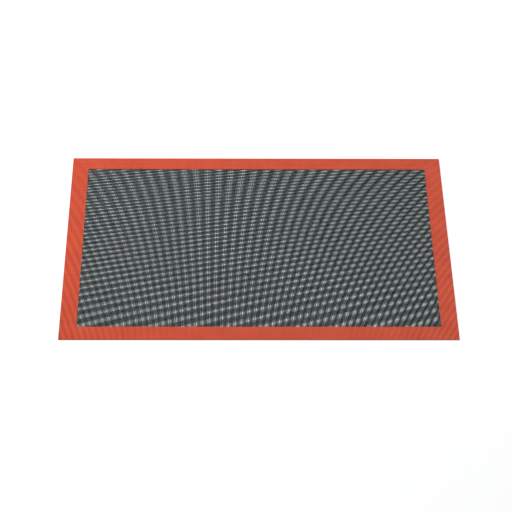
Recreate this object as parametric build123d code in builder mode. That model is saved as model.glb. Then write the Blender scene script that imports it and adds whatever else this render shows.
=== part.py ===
"""Perforated silicone baking mat: an open mesh of coated glass yarns in a flat silicone border.

The origin is at the centre of the footprint, on the plane that the mat lies on. +X runs along the
mat's long side, +Y runs across it, away from whoever uses it, and +Z is up. Lengths are millimetres.
"""

import os

from build123d import *

# The cut sheet
mat_length = 583.0
mat_width = 384.0
corner_radius = 0.8

# The border: one coat of silicone on each face of the mesh, around an open window
border_width = 25.0
window_corner_radius = 0.8
coat_thickness = 0.12
coat_edge_radius = 0.05

# The silicone between the two coats that closes the mesh's cut edge
edge_seal_width = 1.2

# The mesh: two sets of flattened yarns that cross at right angles
yarn_pitch = 1.735
yarn_width = 1.0
yarn_flat_width = 0.55
yarn_thickness = 0.35

# The film of silicone that holds each piece to the next
bond_line = 0.02

# Heights, from the plane that the mat lies on: back coat, weft, warp, face coat
weft_bottom = coat_thickness + bond_line
weft_middle = weft_bottom + yarn_thickness / 2
warp_bottom = weft_bottom + yarn_thickness + bond_line
warp_middle = warp_bottom + yarn_thickness / 2
warp_top = warp_bottom + yarn_thickness
face_coat_bottom = warp_top + bond_line
mat_thickness = face_coat_bottom + coat_thickness

# The open window, the inside of the edge seal, and the space that the yarns fill
window_length = mat_length - 2 * border_width
window_width = mat_width - 2 * border_width
seal_inner_length = mat_length - 2 * edge_seal_width
seal_inner_width = mat_width - 2 * edge_seal_width
mesh_length = seal_inner_length - 2 * bond_line
mesh_width = seal_inner_width - 2 * bond_line

# Half of a flattened yarn's section is mirrored across its thickness and its width
half_width = yarn_width / 2
half_flat_width = yarn_flat_width / 2
half_thickness = yarn_thickness / 2
yarn_outline = [
    (-half_width, 0),
    (-half_flat_width, half_thickness),
    (half_flat_width, half_thickness),
    (half_width, 0),
    (half_flat_width, -half_thickness),
    (-half_flat_width, -half_thickness),
]


def yarn_count(room):
    """Returns how many yarns lie side by side in the room, with one of them on its centre line."""
    return 2 * int((room - yarn_width) / 2 / yarn_pitch) + 1


def border_outline():
    """Draws the border with its open window, in the sketch that is open."""
    RectangleRounded(mat_length, mat_width, corner_radius)
    RectangleRounded(window_length, window_width, window_corner_radius, mode=Mode.SUBTRACT)


os.makedirs("parts", exist_ok=True)

# Border, under side: the coat that the mat lies on, with its lower edges softened
with BuildPart() as border_back:
    with BuildSketch(Plane.XY):
        border_outline()
    extrude(amount=coat_thickness)
    lower_edges = border_back.faces().sort_by(Axis.Z)[0].edges()
    fillet(lower_edges, radius=min(coat_edge_radius, coat_thickness / 2))
border_back.part.label = "border_back"
export_step(border_back.part, "parts/border_back.step")

# Weft yarns: the lower set, along the mat's length
with BuildPart() as weft_yarns:
    with BuildSketch(Plane.YZ.offset(-mesh_length / 2)):
        with Locations((0, weft_middle)):
            with GridLocations(yarn_pitch, 0, yarn_count(mesh_width), 1):
                Polygon(*yarn_outline, align=None)
    extrude(amount=mesh_length)
weft_yarns.part.label = "weft_yarns"
export_step(weft_yarns.part, "parts/weft_yarns.step")

# Warp yarns: the upper set, across the mat's width
with BuildPart() as warp_yarns:
    with BuildSketch(Plane.XZ.offset(-mesh_width / 2)):
        with Locations((0, warp_middle)):
            with GridLocations(yarn_pitch, 0, yarn_count(mesh_length), 1):
                Polygon(*yarn_outline, align=None)
    extrude(amount=mesh_width)
warp_yarns.part.label = "warp_yarns"
export_step(warp_yarns.part, "parts/warp_yarns.step")

# Edge seal: fills the space between the two coats outside the yarns' ends
with BuildPart() as edge_seal:
    with BuildSketch(Plane.XY.offset(weft_bottom)):
        RectangleRounded(mat_length, mat_width, corner_radius)
        Rectangle(seal_inner_length, seal_inner_width, mode=Mode.SUBTRACT)
    extrude(amount=warp_top - weft_bottom)
edge_seal.part.label = "edge_seal"
export_step(edge_seal.part, "parts/edge_seal.step")

# Border, face side: the coat that shows from above, with its upper edges softened
with BuildPart() as border_face:
    with BuildSketch(Plane.XY.offset(face_coat_bottom)):
        border_outline()
    extrude(amount=coat_thickness)
    upper_edges = border_face.faces().sort_by(Axis.Z)[-1].edges()
    fillet(upper_edges, radius=min(coat_edge_radius, coat_thickness / 2))
border_face.part.label = "border_face"
export_step(border_face.part, "parts/border_face.step")

print(f"yarns: {len(warp_yarns.solids())} warp, {len(weft_yarns.solids())} weft")
print(f"mat: {mat_length} x {mat_width} x {mat_thickness:.2f}")
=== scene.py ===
"""Perforated silicone baking mat: the finished look of the part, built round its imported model.

Lengths are metres in the part's own frame: +X along the mat's long side, +Y across it, away from
whoever uses it, and +Z up from the plane that the mat lies on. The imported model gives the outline,
the height of each coat and the room that the yarns fill. This script weaves the open mesh, prints
the two coats of the border over it and lights the mat in a plain studio.
"""

import logging
import math
from collections.abc import Callable
from dataclasses import dataclass, field
from enum import Enum

import bmesh
import bpy
import numpy as np
from mathutils import Matrix, Vector


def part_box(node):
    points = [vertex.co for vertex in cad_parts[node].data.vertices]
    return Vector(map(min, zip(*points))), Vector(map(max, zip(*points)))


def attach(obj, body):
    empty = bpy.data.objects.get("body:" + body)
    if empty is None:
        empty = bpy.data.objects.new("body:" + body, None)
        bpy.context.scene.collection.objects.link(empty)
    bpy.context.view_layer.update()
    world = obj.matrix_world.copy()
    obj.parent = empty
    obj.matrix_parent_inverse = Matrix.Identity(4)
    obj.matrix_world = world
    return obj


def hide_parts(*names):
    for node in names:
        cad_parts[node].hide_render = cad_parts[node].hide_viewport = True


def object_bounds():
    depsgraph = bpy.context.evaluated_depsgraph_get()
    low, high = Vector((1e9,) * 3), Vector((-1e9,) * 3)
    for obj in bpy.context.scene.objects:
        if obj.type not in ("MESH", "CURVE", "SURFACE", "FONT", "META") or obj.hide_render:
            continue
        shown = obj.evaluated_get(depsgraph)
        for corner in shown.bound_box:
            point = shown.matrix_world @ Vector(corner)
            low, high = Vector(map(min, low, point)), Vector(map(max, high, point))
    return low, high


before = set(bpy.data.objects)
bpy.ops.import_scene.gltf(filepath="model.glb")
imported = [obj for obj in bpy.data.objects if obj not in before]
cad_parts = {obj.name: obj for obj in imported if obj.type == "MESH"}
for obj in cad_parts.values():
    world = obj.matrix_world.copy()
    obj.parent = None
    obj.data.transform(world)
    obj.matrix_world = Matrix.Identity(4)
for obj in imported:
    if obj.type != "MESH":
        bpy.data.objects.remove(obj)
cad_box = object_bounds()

Colour = tuple[float, float, float]
Box = tuple[Vector, Vector]

MILLIMETRE = 0.001
BAKE_MAP = "OFBake"
log = logging.getLogger("baking_mat")


class Run(Enum):
    """The two ways in which the yarns of the mesh run."""

    WEFT = 0
    WARP = 1


class Coat(Enum):
    """The two printed coats of the border, by the node that each one replaces."""

    FACE = "border_face"
    BACK = "border_back"


class Term:
    """A number that a material works out at each point of a surface."""

    def __init__(self, bench: "Bench", socket: bpy.types.NodeSocket) -> None:
        """Holds the socket that gives the number.

        Args:
            bench: The bench that the socket's node stands on.
            socket: The output socket.
        """
        self.bench = bench
        self.socket = socket

    def through(self, operation: str, *values: "Term | float") -> "Term":
        """Sends numbers through a Math node.

        Args:
            operation: The Math node's operation.
            *values: The numbers that it takes, in order.

        Returns:
            The result.
        """
        node = self.bench.node("ShaderNodeMath", {"operation": operation}, dict(enumerate(values)))
        return Term(self.bench, node.outputs[0])

    def __add__(self, other: "Term | float") -> "Term":
        """Returns the sum."""
        return self.through("ADD", self, other)

    __radd__ = __add__

    def __sub__(self, other: "Term | float") -> "Term":
        """Returns this number less the other."""
        return self.through("SUBTRACT", self, other)

    def __rsub__(self, other: float) -> "Term":
        """Returns the other number less this one."""
        return self.through("SUBTRACT", other, self)

    def __mul__(self, other: "Term | float") -> "Term":
        """Returns the product."""
        return self.through("MULTIPLY", self, other)

    __rmul__ = __mul__

    def __truediv__(self, other: "Term | float") -> "Term":
        """Returns this number divided by the other."""
        return self.through("DIVIDE", self, other)

    def __rtruediv__(self, other: float) -> "Term":
        """Returns the other number divided by this one."""
        return self.through("DIVIDE", other, self)

    def __pow__(self, power: float) -> "Term":
        """Returns this number raised to a power."""
        return self.through("POWER", self, power)

    def __rpow__(self, base: float) -> "Term":
        """Returns a number raised to this one."""
        return self.through("POWER", base, self)

    def whole(self) -> "Term":
        """Returns the nearest whole number."""
        return self.through("ROUND", self)

    def wave(self) -> "Term":
        """Returns the cosine of this number of turns."""
        return self.through("COSINE", self * math.tau)


class Bench:
    """The node tree of one material, with the few steps that every finish here needs."""

    def __init__(self, name: str) -> None:
        """Starts a material.

        Args:
            name: The material's name.
        """
        self.material = bpy.data.materials.new(name)
        self.material.use_nodes = True
        self.tree = self.material.node_tree
        self.shader = self.tree.nodes["Principled BSDF"]

    def node(
        self,
        kind: str,
        settings: dict[str, object] | None = None,
        inputs: dict[str | int, object] | None = None,
    ) -> bpy.types.Node:
        """Adds a node.

        Args:
            kind: The node's type.
            settings: Its own settings, which are set before its sockets.
            inputs: A value, a socket or a Term for each input, by name or number.

        Returns:
            The node.
        """
        node = self.tree.nodes.new(kind)
        for name, value in (settings or {}).items():
            setattr(node, name, value)
        self.feed(node, inputs or {})
        return node

    def feed(self, node: bpy.types.Node, inputs: dict[str | int, object]) -> None:
        """Gives a node's inputs their values or links.

        Args:
            node: The node.
            inputs: A value, a socket or a Term for each input, by name or number.
        """
        for name, value in inputs.items():
            if isinstance(value, Term):
                value = value.socket
            if isinstance(value, bpy.types.NodeSocket):
                self.tree.links.new(value, node.inputs[name])
            else:
                node.inputs[name].default_value = value

    def split(self, vector: bpy.types.NodeSocket) -> list[Term]:
        """Takes a vector apart.

        Args:
            vector: The socket that gives it.

        Returns:
            Its three numbers.
        """
        node = self.node("ShaderNodeSeparateXYZ", inputs={"Vector": vector})
        return [Term(self, socket) for socket in node.outputs]

    def join(self, *values: Term | float) -> bpy.types.NodeSocket:
        """Makes a vector of up to three numbers.

        Args:
            *values: The numbers.

        Returns:
            The socket that gives the vector.
        """
        return self.node("ShaderNodeCombineXYZ", inputs=dict(enumerate(values))).outputs[0]

    def place(self) -> bpy.types.NodeSocket:
        """Returns the place on the object, in metres."""
        return self.node("ShaderNodeTexCoord").outputs["Object"]

    def chance(self, *values: Term | float) -> Term:
        """Draws a number from 0 to 1 for each set of whole numbers.

        Args:
            *values: Up to three whole numbers.

        Returns:
            The number drawn.
        """
        node = self.node("ShaderNodeTexWhiteNoise", inputs={"Vector": self.join(*values)})
        return Term(self, node.outputs["Value"])

    def clouds(self, place: bpy.types.NodeSocket, size: float) -> Term:
        """Makes a soft uneven pattern from 0 to 1.

        Args:
            place: Where the pattern is read, in metres.
            size: How far apart its patches lie, in metres.

        Returns:
            The pattern.
        """
        node = self.node("ShaderNodeTexNoise", inputs={"Vector": place, "Scale": 1 / size})
        return Term(self, node.outputs[0])

    def blend(self, low: Colour, high: Colour, share: Term) -> bpy.types.NodeSocket:
        """Mixes two colours.

        Args:
            low: The colour where the share is 0.
            high: The colour where it is 1.
            share: The share of the second colour.

        Returns:
            The socket that gives the mixed colour.
        """
        settings = {"data_type": "RGBA", "clamp_factor": True}
        # Inputs 6 and 7 and output 2 are the node's colours
        node = self.node("ShaderNodeMix", settings, {0: share, 6: (*low, 1), 7: (*high, 1)})
        return node.outputs[2]

    def relief(self, height: Term, depth: float) -> bpy.types.NodeSocket:
        """Turns a pattern into a relief.

        Args:
            height: The pattern, from 0 to 1.
            depth: How deep the relief is, in metres.

        Returns:
            The socket that gives the normal.
        """
        node = self.node("ShaderNodeBump", inputs={"Distance": depth, "Height": height})
        return node.outputs["Normal"]


@dataclass(frozen=True)
class MeshSilicone:
    """The black silicone that coats the yarns: satin, and paler and glossier at some crossings,
    where the paler colour is random tone and a painted glint.
    """

    deep: Colour = (0.006, 0.013, 0.014)
    # The paler colour of some crossings: random tone, and also a painted glint
    pale: Colour = (0.045, 0.078, 0.078)
    dull: float = 0.5
    glossy: float = 0.3
    rarity: float = 3.0
    skin_grain: float = 0.4 * MILLIMETRE
    skin_depth: float = 0.02 * MILLIMETRE
    shine: float = 0.3
    refraction: float = 1.41

    def material(self, cloth_map: str) -> bpy.types.Material:
        """Makes the material.

        Args:
            cloth_map: The UV map that counts the yarns of the cloth.

        Returns:
            The material.
        """
        bench = Bench("mesh_silicone_satin")
        cloth = bench.node("ShaderNodeUVMap", {"uv_map": cloth_map}).outputs["UV"]
        warp, weft, _ = bench.split(cloth)
        # Crossings drawn at random get a paler colour, which is random tone and a painted glint, and
        # a glossier surface
        crossing = bench.chance(warp.whole(), weft.whole()) ** self.rarity
        grain = bench.clouds(bench.place(), self.skin_grain)
        inputs = {
            "Base Color": bench.blend(self.deep, self.pale, crossing),
            "Roughness": self.dull - crossing * (self.dull - self.glossy),
            "Normal": bench.relief(grain, self.skin_depth),
            "IOR": self.refraction,
            "Specular IOR Level": self.shine,
        }
        bench.feed(bench.shader, inputs)
        return bench.material


@dataclass(frozen=True)
class BorderSilicone:
    """The terracotta silicone of the border: smooth, with the mesh just showing through it."""

    name: str = "border_silicone_satin"
    deep: Colour = (0.36, 0.039, 0.014)
    pale: Colour = (0.62, 0.079, 0.033)
    patch: float = 30 * MILLIMETRE
    patchiness: float = 0.4
    streak: float = 0.25
    stroke: float = 0.55
    stroke_fade: float = 0.4
    imprint_depth: float = 0.012 * MILLIMETRE
    skin_grain: float = 0.25 * MILLIMETRE
    skin_depth: float = 0.006 * MILLIMETRE
    dull: float = 0.62
    glossy: float = 0.48
    shine: float = 0.3
    refraction: float = 1.41
    seed: float = 0.5

    def material(self, mesh: "WovenMesh", size: Vector) -> bpy.types.Material:
        """Makes the material.

        The mesh under the coat shows as strokes, stronger towards the mat's ends and its front.

        Args:
            mesh: The mesh under the coat.
            size: The mat's size.

        Returns:
            The material.
        """
        bench = Bench(self.name)
        place = bench.place()
        along, across, _ = bench.split(place)
        column, row = along / mesh.pitch, across / mesh.pitch
        warp = bench.chance(column.whole(), self.seed)
        weft = bench.chance(self.seed, row.whole())
        streaks = (warp + weft) / 2 - 0.5
        ends = (along / (size.x / 2)) ** 2
        front = (0.5 - across / size.y) ** self.stroke_fade
        strokes = mesh.columns.turns(along, across).wave() * ends * front / 2
        patches = bench.clouds(place, self.patch)
        shade = streaks * self.streak + (patches - 0.5) * self.patchiness
        shade = shade + strokes * self.stroke + 0.5
        imprint = (column.wave() + row.wave()) / 4 + 0.5
        grain = bench.clouds(place, self.skin_grain)
        relief = imprint + grain * (self.skin_depth / self.imprint_depth)
        inputs = {
            "Base Color": bench.blend(self.deep, self.pale, shade),
            "Roughness": self.dull - patches * (self.dull - self.glossy),
            "Normal": bench.relief(relief, self.imprint_depth),
            "IOR": self.refraction,
            "Specular IOR Level": self.shine,
        }
        bench.feed(bench.shader, inputs)
        return bench.material


@dataclass(frozen=True)
class WhiteGround:
    """The white ground: part of its white is its own, and the rest takes the mat's shadow."""

    lit: Colour = (0.8, 0.8, 0.8)
    seen: Colour = (1.0, 1.0, 1.0)
    own_white: float = 0.36

    def material(self) -> bpy.types.Material:
        """Makes the material.

        Returns:
            The material.
        """
        bench = Bench("white_ground")
        rays = bench.node("ShaderNodeLightPath")
        camera = Term(bench, rays.outputs["Is Camera Ray"])
        mirrored = Term(bench, rays.outputs["Is Glossy Ray"])
        colour = bench.blend(self.lit, self.seen, camera)
        matt = bench.node("ShaderNodeBsdfDiffuse", inputs={"Color": colour})
        white = bench.node("ShaderNodeEmission", inputs={"Color": (*self.seen, 1)})
        share = (camera + mirrored) * self.own_white
        inputs = {0: share, 1: matt.outputs[0], 2: white.outputs[0]}
        mix = bench.node("ShaderNodeMixShader", inputs=inputs)
        output = bench.tree.nodes["Material Output"]
        bench.feed(output, {"Surface": mix.outputs[0]})
        bench.tree.nodes.remove(bench.shader)
        return bench.material


def seen_from(bearing: float, height: float) -> Vector:
    """Turns a bearing and a height into a direction.

    Args:
        bearing: Degrees round the mat from its front edge, towards its right end.
        height: Degrees above the ground.

    Returns:
        The direction from the mat, of length 1.
    """
    bearing, height = math.radians(bearing), math.radians(height)
    return Vector(
        (
            math.sin(bearing) * math.cos(height),
            -math.cos(bearing) * math.cos(height),
            math.sin(height),
        )
    )


def clear_selection() -> None:
    """Deselects every object."""
    bpy.ops.object.select_all(action="DESELECT")


def take(piece: bpy.types.Object) -> None:
    """Makes a piece the one that the next operators act on.

    Args:
        piece: The piece.
    """
    clear_selection()
    piece.select_set(True)
    bpy.context.view_layer.objects.active = piece


def select_points(piece: bpy.types.Object, wanted: Callable[[Vector], bool]) -> None:
    """Selects points of the piece in edit mode, with the edges and faces between them.

    Args:
        piece: The piece, in edit mode.
        wanted: Tells from a point's place whether it is selected.
    """
    bpy.ops.mesh.select_all(action="DESELECT")
    shape = bmesh.from_edit_mesh(piece.data)
    for point in shape.verts:
        point.select = wanted(point.co)
    shape.select_flush(True)
    bmesh.update_edit_mesh(piece.data)


def select_edges(piece: bpy.types.Object, wanted: Callable[[Vector, Vector], bool]) -> float:
    """Selects edges of the piece in edit mode.

    Args:
        piece: The piece, in edit mode.
        wanted: Tells from the places of an edge's two ends whether it is selected.

    Returns:
        The length of the longest edge selected.
    """
    bpy.ops.mesh.select_all(action="DESELECT")
    shape = bmesh.from_edit_mesh(piece.data)
    chosen = [edge for edge in shape.edges if wanted(*(point.co for point in edge.verts))]
    for edge in chosen:
        edge.select = True
    bmesh.update_edit_mesh(piece.data)
    return max(edge.calc_length() for edge in chosen)


def apply_modifiers(piece: bpy.types.Object) -> None:
    """Applies the piece's modifiers in order.

    Args:
        piece: The piece.
    """
    take(piece)
    for name in [modifier.name for modifier in piece.modifiers]:
        bpy.ops.object.modifier_apply(modifier=name)


def lay_map(piece: bpy.types.Object, name: str, start: Vector, step: Vector) -> None:
    """Lays a flat map over a piece, as seen from above.

    Args:
        piece: The piece.
        name: The map's name.
        start: The place where the map's two numbers are 0.
        step: How far it is from there to where they are 1.
    """
    mesh = piece.data
    places = [mesh.vertices[loop.vertex_index].co.xy - start for loop in mesh.loops]
    numbers = [number for place in places for number in (place.x / step.x, place.y / step.y)]
    mesh.uv_layers.new(name=name).data.foreach_set("uv", numbers)


def finish_piece(
    piece: bpy.types.Object, name: str, slot: str, material: bpy.types.Material, *nodes: str
) -> None:
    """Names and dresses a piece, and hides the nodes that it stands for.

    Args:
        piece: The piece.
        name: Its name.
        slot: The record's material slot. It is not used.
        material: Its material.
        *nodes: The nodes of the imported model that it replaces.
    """
    piece.name = name
    piece.data.name = name
    piece.data.materials.clear()
    piece.data.materials.append(material)
    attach(piece, "root")
    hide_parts(*nodes)


def displace(
    piece: bpy.types.Object, pattern: bpy.types.Texture, direction: str, strength: float, group: str
) -> None:
    """Adds a modifier that moves a piece's points sideways by a pattern.

    Args:
        piece: The piece.
        pattern: The pattern, read in the piece's own space.
        direction: The axis that the points move along.
        strength: How far the pattern's full range moves them.
        group: The vertex group that it is kept to, or an empty name for the whole piece.
    """
    modifier = piece.modifiers.new(pattern.name, "DISPLACE")
    modifier.texture = pattern
    modifier.texture_coords = "LOCAL"
    modifier.direction = direction
    modifier.strength = strength
    modifier.vertex_group = group


@dataclass(frozen=True)
class Unevenness:
    """A soft unevenness that moves points sideways by a little, the same for every piece."""

    direction: str
    size: float
    reach: float
    detail: int = 0

    def bend(self, piece: bpy.types.Object, group: str = "") -> None:
        """Adds the unevenness to a piece as a modifier.

        Args:
            piece: The piece.
            group: The vertex group that it is kept to, if any.
        """
        pattern = bpy.data.textures.new(f"uneven_{self.direction}", "CLOUDS")
        pattern.noise_scale = self.size
        pattern.noise_depth = self.detail
        displace(piece, pattern, self.direction, 2 * self.reach, group)


@dataclass(frozen=True)
class Skew:
    """A lean of the cloth: its weft yarns rise towards the right by this many degrees."""

    angle: float

    @property
    def slope(self) -> float:
        """The rise of a weft yarn over each metre towards the right."""
        return math.tan(math.radians(self.angle))

    def bend(self, piece: bpy.types.Object, group: str = "") -> None:
        """Adds the skew to a piece as a modifier.

        Args:
            piece: The piece.
            group: The vertex group that it is kept to, if any.
        """
        # The ramp rises from 0 to 1 over two metres
        ramp = bpy.data.textures.new("skew", "BLEND")
        displace(piece, ramp, "Y", 2 * self.slope, group)


@dataclass(frozen=True)
class YarnSize:
    """A coated yarn's section, and how its top is flattened."""

    width: float = 1.0 * MILLIMETRE
    flat_width: float = 0.55 * MILLIMETRE
    thickness: float = 0.35 * MILLIMETRE


@dataclass(frozen=True)
class Drift:
    """The slanting groups that one set of yarns drifts into, with wider gaps between the groups.

    The counts are groups per metre at the middle of the cloth, across the yarns and along them. The
    fan is what each metre towards the back adds to the first count. The growth is what each metre
    towards the right, and each towards the back, adds to the pull. A sharper drift keeps the yarns
    of a group closer together.
    """

    run: Run
    across: float
    along: float
    fan: float
    pull: float
    growth: tuple[float, float]
    sharpness: float = 0.55
    probe: float = 0.1 * MILLIMETRE

    def turns(self, x: "Term | np.ndarray", y: "Term | np.ndarray") -> "Term | np.ndarray":
        """Counts the groups from the middle of the cloth to a place.

        Args:
            x: The place along the mat's length.
            y: The place across it.

        Returns:
            The count, whole in the middle of a wide gap.
        """
        across, along = (x, y) if self.run is Run.WARP else (y, x)
        return (y * self.fan + self.across) * across + along * self.along

    def shift(self, x: np.ndarray, y: np.ndarray) -> np.ndarray:
        """Finds how far yarns at some places lie from where an even spacing would put them.

        Args:
            x: The places of their middles along the mat's length.
            y: The places of their middles across it.

        Returns:
            The shifts, sideways to the yarns.
        """
        step_x, step_y = (self.probe, 0.0) if self.run is Run.WARP else (0.0, self.probe)
        ahead = self.turns(x + step_x, y + step_y)
        behind = self.turns(x - step_x, y - step_y)
        count = (ahead - behind) / (2 * self.probe)
        turn = math.tau * self.turns(x, y)
        sway = np.arctan2(self.sharpness * np.sin(turn), 1 - self.sharpness * np.cos(turn))
        pull = self.pull + self.growth[0] * x + self.growth[1] * y
        return pull * sway / (math.tau * count)


@dataclass
class WovenMesh:
    """The open mesh: a plain weave of weft and warp, made of strips that lie edge to edge.

    The repeat of two yarns each way is modelled yarn by yarn, and arrays repeat it into a strip.
    The cloth is laid a little askew, as in the photograph. Its yarns drift into slanting groups,
    which stand in for the pattern that so fine a mesh makes in the photograph's pixels.
    """

    weft_room: Box
    warp_room: Box
    pitch: float = 1.735 * MILLIMETRE
    yarn: YarnSize = YarnSize()
    repeat_yarns: int = 2
    crest_share: float = 0.18
    strips: int = 13
    repeats_across_strip: int = 12
    repeats_along_strip: int = 99
    weld: float = 0.01 * MILLIMETRE
    columns: Drift = Drift(
        Run.WARP, across=79.6, along=-11.4, fan=-160.0, pull=0.9, growth=(1.0, 0.0)
    )
    rows: Drift = Drift(
        Run.WEFT, across=104.5, along=-17.0, fan=160.0, pull=0.66, growth=(0.0, 0.4)
    )
    skew: Skew = Skew(1.67)
    wander: tuple[Unevenness, ...] = (
        Unevenness("X", 150 * MILLIMETRE, 1.5 * MILLIMETRE),
        Unevenness("Y", 150 * MILLIMETRE, 0.6 * MILLIMETRE),
    )
    cloth_map: str = "cloth"
    finish: MeshSilicone = field(default_factory=MeshSilicone)

    @property
    def middle(self) -> float:
        """The height about which both sets of yarns rise and fall."""
        return (self.weft_room[0].z + self.warp_room[1].z) / 2

    @property
    def rise(self) -> float:
        """How far a yarn's middle rises and falls from the mesh's middle."""
        return (self.warp_room[1].z - self.weft_room[0].z - self.yarn.thickness) / 2

    @property
    def repeat(self) -> float:
        """The length of one repeat of the weave."""
        return self.repeat_yarns * self.pitch

    @property
    def strip_size(self) -> tuple[float, float]:
        """The width and the length of a strip."""
        return self.repeats_across_strip * self.repeat, self.repeats_along_strip * self.repeat

    def level(self, run: Run, step: int) -> float:
        """Finds the height of a yarn's middle where it crosses another.

        Args:
            run: The way that the yarn runs.
            step: The sum of the two yarns' numbers.

        Returns:
            The height: a weft yarn is over where the sum is even, and a warp yarn where it is odd.
        """
        over = (step + run.value) % 2 == 0
        return self.middle + (self.rise if over else -self.rise)

    def route(self, run: Run, number: int) -> list[tuple[float, float]]:
        """Finds where a yarn of the repeat rises and falls.

        Args:
            run: The way that the yarn runs.
            number: Its number in its set.

        Returns:
            Places along the yarn and their heights: both ends of its crest or hollow at each yarn
            that it crosses, and last the first one again, a repeat further on.
        """
        half_crest = self.crest_share * self.pitch
        rests = [
            (other * self.pitch + side * half_crest, self.level(run, number + other))
            for other in range(self.repeat_yarns)
            for side in (-1, 1)
        ]
        first_along, first_level = rests[0]
        return [*rests, (first_along + self.repeat, first_level)]

    def model_yarn(self, run: Run, number: int) -> bpy.types.Object:
        """Models one yarn of the repeat, over and under those that it crosses.

        Args:
            run: The way that the yarn runs.
            number: Its number in its set.

        Returns:
            The yarn, an open tube of one repeat's length, in a vertex group named for its run.
        """
        turned = math.pi / 2 if run is Run.WEFT else 0.0
        route = self.route(run, number)
        start_along, start_level = route[0]
        across = number * self.pitch
        start = (start_along, across) if run is Run.WEFT else (across, start_along)
        clear_selection()
        bpy.ops.mesh.primitive_plane_add(
            size=1, location=(*start, start_level), rotation=(math.pi / 2, 0, turned)
        )
        yarn = bpy.context.object
        bpy.ops.object.transform_apply(location=True, rotation=True, scale=True)
        bpy.ops.object.mode_set(mode="EDIT")
        self.shape_section(yarn, run, start_level)
        bpy.ops.mesh.delete(type="ONLY_FACE")
        bpy.ops.mesh.select_all(action="SELECT")
        for (here, height), (there, next_height) in zip(route, route[1:]):
            step, lift = there - here, next_height - height
            move = (step, 0, lift) if run is Run.WEFT else (0, step, lift)
            bpy.ops.mesh.extrude_edges_move(TRANSFORM_OT_translate={"value": move})
        bpy.ops.mesh.select_all(action="SELECT")
        bpy.ops.object.vertex_group_add()
        bpy.ops.object.vertex_group_assign()
        bpy.ops.object.mode_set(mode="OBJECT")
        yarn.vertex_groups[0].name = run.name
        return yarn

    def shape_section(self, yarn: bpy.types.Object, run: Run, level: float) -> None:
        """Gives a yarn's first section its width, its thickness and its flattened top.

        Args:
            yarn: The yarn, in edit mode, as a unit square that stands across its run.
            run: The way that the yarn runs.
            level: The height of its middle.
        """
        width, thickness = self.yarn.width, self.yarn.thickness
        narrow = self.yarn.flat_width / width
        full = (1, width, thickness) if run is Run.WEFT else (width, 1, thickness)
        tapered = (1, narrow, 1) if run is Run.WEFT else (narrow, 1, 1)
        bpy.ops.transform.resize(value=full)
        select_points(yarn, lambda place: place.z > level)
        bpy.ops.transform.resize(value=tapered)
        bpy.ops.mesh.select_all(action="SELECT")

    def weave_strip(self) -> bpy.types.Object:
        """Weaves one strip with its first crossing on the centre lines.

        Returns:
            The strip.
        """
        yarns = [self.model_yarn(run, number) for run in Run for number in range(self.repeat_yarns)]
        take(yarns[0])
        for yarn in yarns:
            yarn.select_set(True)
        bpy.ops.object.join()
        strip = bpy.context.object
        counts = (self.repeats_across_strip, self.repeats_along_strip)
        for axis, count in enumerate(counts):
            row = strip.modifiers.new(f"repeat_{axis}", "ARRAY")
            row.count = count
            row.use_relative_offset = False
            row.use_constant_offset = True
            row.constant_offset_displace = [self.repeat if axis == way else 0.0 for way in range(3)]
            row.use_merge_vertices = True
            row.merge_threshold = self.weld
        apply_modifiers(strip)
        bpy.ops.object.mode_set(mode="EDIT")
        bpy.ops.mesh.select_all(action="SELECT")
        bpy.ops.mesh.fill_holes(sides=4)
        bpy.ops.mesh.select_all(action="SELECT")
        bpy.ops.mesh.normals_make_consistent(inside=False)
        bpy.ops.object.mode_set(mode="OBJECT")
        bpy.ops.object.shade_smooth()
        return strip

    def lay_maps(self, strip: bpy.types.Object) -> None:
        """Lays the two flat maps of a strip: one counts yarns, and the other is for baking.

        Args:
            strip: The strip, with its yarns evenly spaced.
        """
        places = [point.co for point in strip.data.vertices]
        low = Vector((min(place.x for place in places), min(place.y for place in places)))
        high = Vector((max(place.x for place in places), max(place.y for place in places)))
        lay_map(strip, self.cloth_map, Vector((0, 0)), Vector((self.pitch, self.pitch)))
        lay_map(strip, BAKE_MAP, low, high - low)

    def gather(self, strip: bpy.types.Object) -> None:
        """Moves the yarns of a strip sideways into their groups.

        Args:
            strip: The strip, with its yarns evenly spaced.
        """
        mesh = strip.data
        warp_group = strip.vertex_groups[Run.WARP.name].index
        warp = np.array([point.groups[0].group == warp_group for point in mesh.vertices])
        numbers = np.empty(3 * len(warp))
        mesh.vertices.foreach_get("co", numbers)
        places = numbers.reshape(-1, 3)
        x, y = places[:, 0].copy(), places[:, 1].copy()
        middle_x = np.where(warp, np.round(x / self.pitch) * self.pitch, x)
        middle_y = np.where(warp, y, np.round(y / self.pitch) * self.pitch)
        places[:, 0] += self.columns.shift(middle_x, y)
        places[:, 1] += self.rows.shift(x, middle_y)
        mesh.vertices.foreach_set("co", places.ravel())
        strip.vertex_groups.clear()

    def lay_strips(self) -> list[bpy.types.Object]:
        """Weaves the strips and lays them side by side, each where the skew centres it.

        Returns:
            The strips, from left to right.
        """
        width, length = self.strip_size
        strips = []
        x, y = 0.0, 0.0
        for number in range(self.strips):
            next_x = (number - self.strips / 2) * width
            lean = self.skew.slope * (next_x + width / 2)
            next_y = -length / 2 - round(lean / self.repeat) * self.repeat
            if strips:
                bpy.ops.object.duplicate_move()
            else:
                take(self.weave_strip())
            bpy.ops.transform.translate(value=(next_x - x, next_y - y, 0))
            bpy.ops.object.transform_apply(location=True, rotation=False, scale=False)
            x, y = next_x, next_y
            strips.append(bpy.context.object)
        return strips

    def build(self) -> list[bpy.types.Object]:
        """Weaves, lays and dresses every strip.

        Returns:
            The strips, from left to right.
        """
        material = self.finish.material(self.cloth_map)
        nodes = ("weft_yarns", "warp_yarns")
        strips = self.lay_strips()
        for number, strip in enumerate(strips, 1):
            self.lay_maps(strip)
            self.gather(strip)
            for unevenness in (*self.wander, self.skew):
                unevenness.bend(strip)
            apply_modifiers(strip)
            finish_piece(strip, f"mesh_strip_{number:02}", "mesh_silicone", material, *nodes)
        return strips


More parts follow.
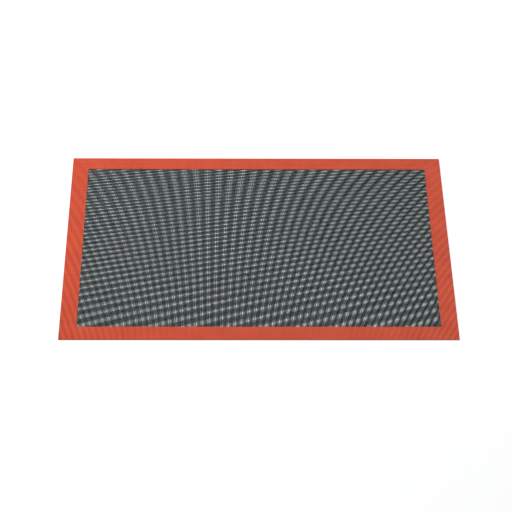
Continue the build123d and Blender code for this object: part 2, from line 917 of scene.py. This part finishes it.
@dataclass
class SiliconeBorder:
    """The border: a coat of silicone on each face of the mesh, and the seal of its cut edge."""

    mesh: WovenMesh
    width: float = 25 * MILLIMETRE
    corner_radius: float = 0.8 * MILLIMETRE
    corner_steps: int = 4
    edge_step: float = 1.2 * MILLIMETRE
    edge_softness: float = 0.04 * MILLIMETRE
    edge_unevenness: tuple[Unevenness, ...] = (
        Unevenness("X", 1.6 * MILLIMETRE, 0.16 * MILLIMETRE),
        Unevenness("Y", 1.6 * MILLIMETRE, 0.16 * MILLIMETRE),
    )
    window_group: str = "window_edge"
    finish: BorderSilicone = field(default_factory=BorderSilicone)
    # The seal is far darker than the coats: painted shade along the cut edge
    shaded_cut_finish: BorderSilicone = BorderSilicone(
        name="border_silicone_cut_painted_shade", deep=(0.09, 0.012, 0.008), pale=(0.16, 0.02, 0.013)
    )

    def add_outline(self, size: Vector) -> None:
        """Adds a rectangle with rounded corners to the piece in edit mode, and leaves it selected.

        Args:
            size: The rectangle's length, its width and its height above the origin.
        """
        bpy.ops.mesh.select_all(action="DESELECT")
        bpy.ops.mesh.primitive_plane_add(size=1, location=(0, 0, size.z))
        bpy.ops.transform.resize(value=(size.x, size.y, 1))
        bpy.ops.mesh.bevel(
            offset=self.corner_radius, segments=self.corner_steps, affect="VERTICES"
        )
        bpy.ops.mesh.delete(type="ONLY_FACE")

    def divide_sides(self, piece: bpy.types.Object) -> None:
        """Divides the long sides of both outlines into the same number of short steps.

        Args:
            piece: The coat, in edit mode, with nothing but its two outlines.
        """
        for along in (0, 1):
            side = select_edges(
                piece, lambda start, end: abs(start[along] - end[along]) > 2 * self.corner_radius
            )
            # One round makes 100 cuts at most, so two rounds divide each side
            cuts = round(math.sqrt(side / self.edge_step)) - 1
            bpy.ops.mesh.subdivide(number_cuts=cuts)
            bpy.ops.mesh.subdivide(number_cuts=cuts)

    def draw_outlines(self, size: Vector, height: float) -> bpy.types.Object:
        """Starts a coat with its outer outline and its window's outline.

        Args:
            size: The coat's size.
            height: The height of the outlines.

        Returns:
            The coat, in edit mode.
        """
        clear_selection()
        bpy.ops.mesh.primitive_plane_add(size=1)
        piece = bpy.context.object
        bpy.ops.object.mode_set(mode="EDIT")
        bpy.ops.mesh.delete(type="VERT")
        bpy.ops.mesh.select_mode(type="EDGE")
        self.add_outline(Vector((size.x, size.y, height)))
        self.add_outline(Vector((size.x - 2 * self.width, size.y - 2 * self.width, height)))
        self.divide_sides(piece)
        return piece

    def roughen_window(self, piece: bpy.types.Object, size: Vector) -> None:
        """Makes the outline of a coat's window slightly uneven, as printing leaves it.

        Args:
            piece: The coat, in edit mode, which it is in again afterwards.
            size: Its size.
        """
        reach = size / 2 - Vector((self.width, self.width, 0)) / 2
        select_points(piece, lambda place: abs(place.x) < reach.x and abs(place.y) < reach.y)
        bpy.ops.object.vertex_group_add()
        bpy.ops.object.vertex_group_assign()
        bpy.ops.object.mode_set(mode="OBJECT")
        piece.vertex_groups[0].name = self.window_group
        for unevenness in self.edge_unevenness:
            unevenness.bend(piece, self.window_group)
        apply_modifiers(piece)
        piece.vertex_groups.clear()
        bpy.ops.object.mode_set(mode="EDIT")

    def thicken(self, piece: bpy.types.Object, inner: float, outer: float) -> None:
        """Fills the space between a coat's outlines, and gives the coat its thickness.

        Args:
            piece: The coat, in edit mode.
            inner: The height of its outlines, next to the mesh.
            outer: The height of its outer side, whose edges are softened.
        """
        soft = math.copysign(self.edge_softness, outer - inner)
        bpy.ops.mesh.select_all(action="SELECT")
        bpy.ops.mesh.bridge_edge_loops()
        bpy.ops.mesh.select_all(action="SELECT")
        rise = (0, 0, outer - inner - soft)
        bpy.ops.mesh.extrude_region_move(TRANSFORM_OT_translate={"value": rise})
        bpy.ops.mesh.select_all(action="SELECT")
        bpy.ops.mesh.normals_make_consistent(inside=False)
        select_points(piece, lambda place: abs(place.z - outer) < abs(place.z - inner))
        bpy.ops.mesh.inset(thickness=self.edge_softness, depth=self.edge_softness)

    def build_coat(self, coat: Coat, material: bpy.types.Material) -> bpy.types.Object:
        """Models one coat of the border and dresses it.

        Args:
            coat: The coat.
            material: Its material.

        Returns:
            The coat.
        """
        low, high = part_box(coat.value)
        size = high - low
        inner, outer = (low.z, high.z) if coat is Coat.FACE else (high.z, low.z)
        piece = self.draw_outlines(size, inner)
        self.roughen_window(piece, size)
        self.thicken(piece, inner, outer)
        bpy.ops.object.mode_set(mode="OBJECT")
        lay_map(piece, BAKE_MAP, -size.xy / 2, size.xy)
        finish_piece(piece, f"{coat.value}_coat", "border_silicone", material, coat.value)
        return piece

    def dress_seal(self, seal: bpy.types.Object, size: Vector) -> None:
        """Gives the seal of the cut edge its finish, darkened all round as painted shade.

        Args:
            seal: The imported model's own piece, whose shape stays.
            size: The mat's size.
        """
        material = self.shaded_cut_finish.material(self.mesh, size)
        if not seal.material_slots:
            seal.data.materials.append(material)
        for slot in seal.material_slots:
            slot.material = material

    def build(self) -> list[bpy.types.Object]:
        """Builds both coats and dresses the seal.

        Returns:
            The seal and the two coats.
        """
        low, high = cad_box
        size = high - low
        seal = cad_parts["edge_seal"]
        material = self.finish.material(self.mesh, size)
        self.dress_seal(seal, size)
        return [seal, *(self.build_coat(coat, material) for coat in Coat)]


@dataclass
class Studio:
    """A white ground, white all round it, and soft light from behind the mat and from its left."""

    ground_size: float = 8.0
    ground_gap: float = 0.02 * MILLIMETRE
    sky: Colour = (0.96, 0.98, 1.0)
    sky_strength: float = 0.34
    sun_from: tuple[float, float] = (150.0, 60.0)
    sun_strength: float = 1.5
    sun_softness: float = 28.0
    lamp_place: tuple[float, float, float] = (-0.6, 0.55, 1.1)
    lamp_size: float = 0.7
    lamp_power: float = 11.5
    ground: WhiteGround = field(default_factory=WhiteGround)

    def lay_ground(self) -> None:
        """Lays the ground just under the mat."""
        clear_selection()
        bpy.ops.mesh.primitive_plane_add(size=self.ground_size, location=(0, 0, -self.ground_gap))
        ground = bpy.context.object
        ground.name = "white_ground"
        ground.data.materials.append(self.ground.material())

    def light_sky(self) -> None:
        """Makes the sky white to the camera, and a soft light to everything else."""
        world = bpy.data.worlds.new("studio")
        bpy.context.scene.world = world
        world.use_nodes = True
        tree = world.node_tree
        background = tree.nodes["Background"]
        rays = tree.nodes.new("ShaderNodeLightPath")
        strength = tree.nodes.new("ShaderNodeMapRange")
        strength.inputs["To Min"].default_value = self.sky_strength
        strength.inputs["To Max"].default_value = 1.0
        tree.links.new(rays.outputs["Is Camera Ray"], strength.inputs["Value"])
        tree.links.new(strength.outputs[0], background.inputs["Strength"])
        background.inputs["Color"].default_value = (*self.sky, 1)

    def hang(self, lamp: bpy.types.Light, place: Vector) -> bpy.types.Object:
        """Hangs a lamp at a place and turns it to the mat's middle.

        Args:
            lamp: The lamp.
            place: Its place.

        Returns:
            The hung lamp.
        """
        hung = bpy.data.objects.new(lamp.name, lamp)
        hung.location = place
        hung.rotation_euler = place.to_track_quat("Z", "Y").to_euler()
        bpy.context.scene.collection.objects.link(hung)
        return hung

    def light_mat(self) -> None:
        """Hangs a broad key light over the mat, and a lamp near its left that makes no sheen."""
        key = bpy.data.lights.new("key", "SUN")
        key.energy = self.sun_strength
        key.angle = math.radians(self.sun_softness)
        self.hang(key, seen_from(*self.sun_from))
        lamp = bpy.data.lights.new("near_lamp", "AREA")
        lamp.energy = self.lamp_power
        lamp.size = self.lamp_size
        self.hang(lamp, Vector(self.lamp_place)).visible_glossy = False

    def build(self) -> None:
        """Sets up the ground and the lights."""
        bpy.context.scene.view_settings.view_transform = "Standard"
        self.lay_ground()
        self.light_sky()
        self.light_mat()


@dataclass
class PhotoCamera:
    """The camera, where the photograph was taken from."""

    bearing: float = -1.335
    height: float = 46.148
    roll: float = 1.03
    distance: float = 2.7664
    focal_pixels: float = 1826.0
    picture_pixels: float = 512.0
    aim: Vector = field(default_factory=lambda: Vector((-0.003, -0.0228, 0)))
    sensor: float = 36.0

    def build(self) -> None:
        """Stands the camera in its place and makes it the scene's own."""
        back = seen_from(self.bearing, self.height)
        bearing, roll = math.radians(self.bearing), math.radians(self.roll)
        level = Vector((math.cos(bearing), math.sin(bearing), 0))
        upright = back.cross(level)
        right = level * math.cos(roll) + upright * math.sin(roll)
        up = upright * math.cos(roll) - level * math.sin(roll)
        stand = Matrix((right, up, back)).transposed().to_4x4()
        stand.translation = self.aim + back * self.distance
        lens = bpy.data.cameras.new("photo_camera")
        lens.sensor_width = self.sensor
        lens.lens = self.focal_pixels * self.sensor / self.picture_pixels
        camera = bpy.data.objects.new("photo_camera", lens)
        camera.matrix_world = stand
        bpy.context.scene.collection.objects.link(camera)
        bpy.context.scene.camera = camera


def main() -> None:
    """Builds the camera, the mat and the studio, and reports each piece of the mat."""
    logging.basicConfig(level=logging.INFO, format="%(name)s: %(message)s")
    PhotoCamera().build()
    woven = WovenMesh(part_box("weft_yarns"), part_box("warp_yarns"))
    border = SiliconeBorder(woven)
    for piece in (*woven.build(), *border.build()):
        log.info("%s: %d faces", piece.name, len(piece.data.polygons))
    Studio().build()


if __name__ == "__main__":
    main()
